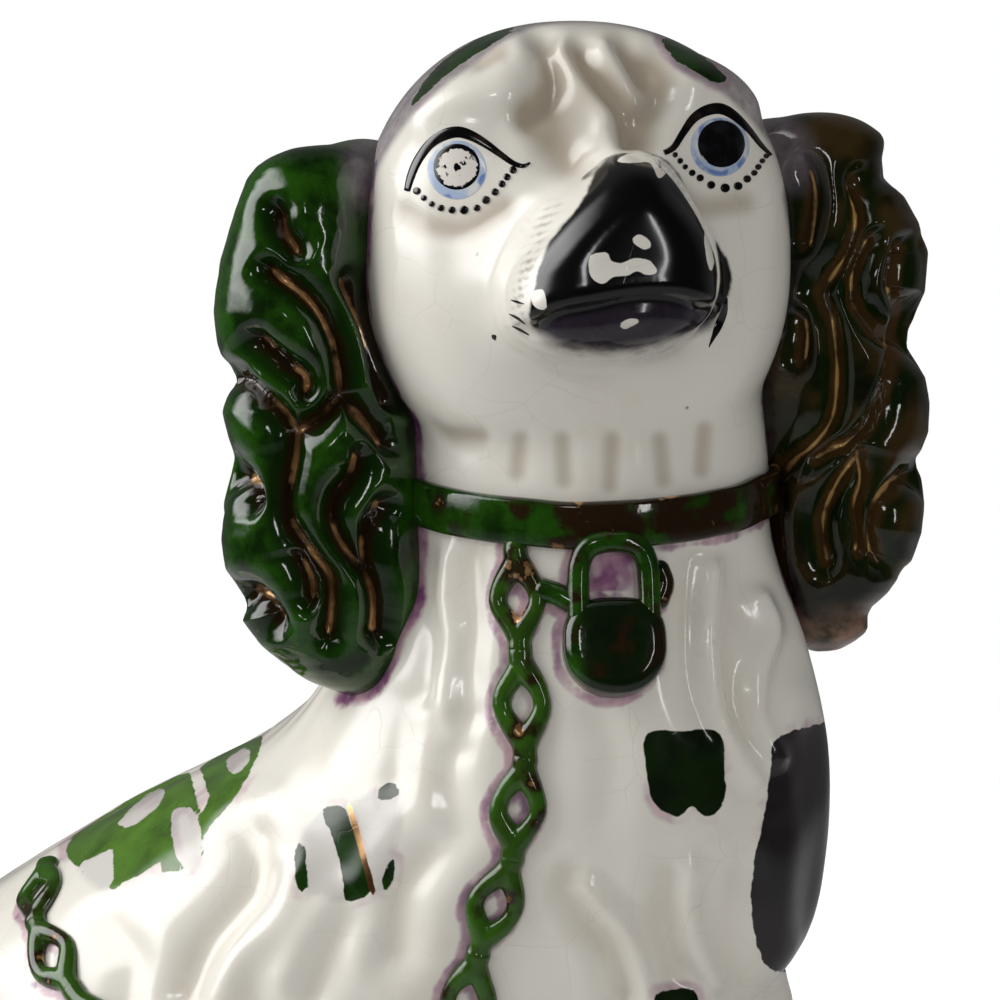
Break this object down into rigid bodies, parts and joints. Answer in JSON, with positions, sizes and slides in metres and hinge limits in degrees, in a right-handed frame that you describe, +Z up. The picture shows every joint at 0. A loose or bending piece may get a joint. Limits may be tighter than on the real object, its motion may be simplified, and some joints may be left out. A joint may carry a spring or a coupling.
{
  "type": "seated spaniel ornament",
  "caption": "Seated ceramic spaniel figure with its head turned to the viewer, hanging curled ears, collar, padlock and chain; a hollow glazed mantelpiece ornament.",
  "frame": {"origin": "on the resting face, below the rump's front, on the middle plane of the body", "axes": "+Z up, +X the way the body points, -Y the display side"},
  "size_m": [0.2168, 0.114, 0.2494],
  "materials": {
    "cream_glaze": "glossy lead glaze over cream earthenware, faintly crazed, with green enamel patches",
    "green_lustre_glaze": "glossy green enamel with copper lustre worn into the grooves",
    "bare_biscuit": "unglazed earthenware"
  },
  "bodies": {
    "root": {"base_slab": "bare_biscuit", "chain_link_01": "green_lustre_glaze", "chain_link_02": "green_lustre_glaze", "chain_link_03": "green_lustre_glaze", "chain_link_04": "green_lustre_glaze", "chain_link_05": "green_lustre_glaze", "chain_link_06": "green_lustre_glaze", "chain_link_07": "green_lustre_glaze", "chain_link_08": "green_lustre_glaze", "chain_link_09": "green_lustre_glaze", "chain_link_10": "green_lustre_glaze", "chain_link_11": "green_lustre_glaze", "collar": "green_lustre_glaze", "front_shell": "cream_glaze", "head_front": "cream_glaze", "head_rear": "cream_glaze", "left_ear": "green_lustre_glaze", "left_foreleg": "cream_glaze", "left_hind_foot": "cream_glaze", "padlock_body": "green_lustre_glaze", "padlock_lug": "green_lustre_glaze", "padlock_shackle": "green_lustre_glaze", "padlock_tie": "green_lustre_glaze", "rear_shell": "cream_glaze", "right_ear": "green_lustre_glaze", "right_foreleg": "cream_glaze", "right_hind_foot": "cream_glaze", "tail": "cream_glaze"}
  },
  "joints": []
}
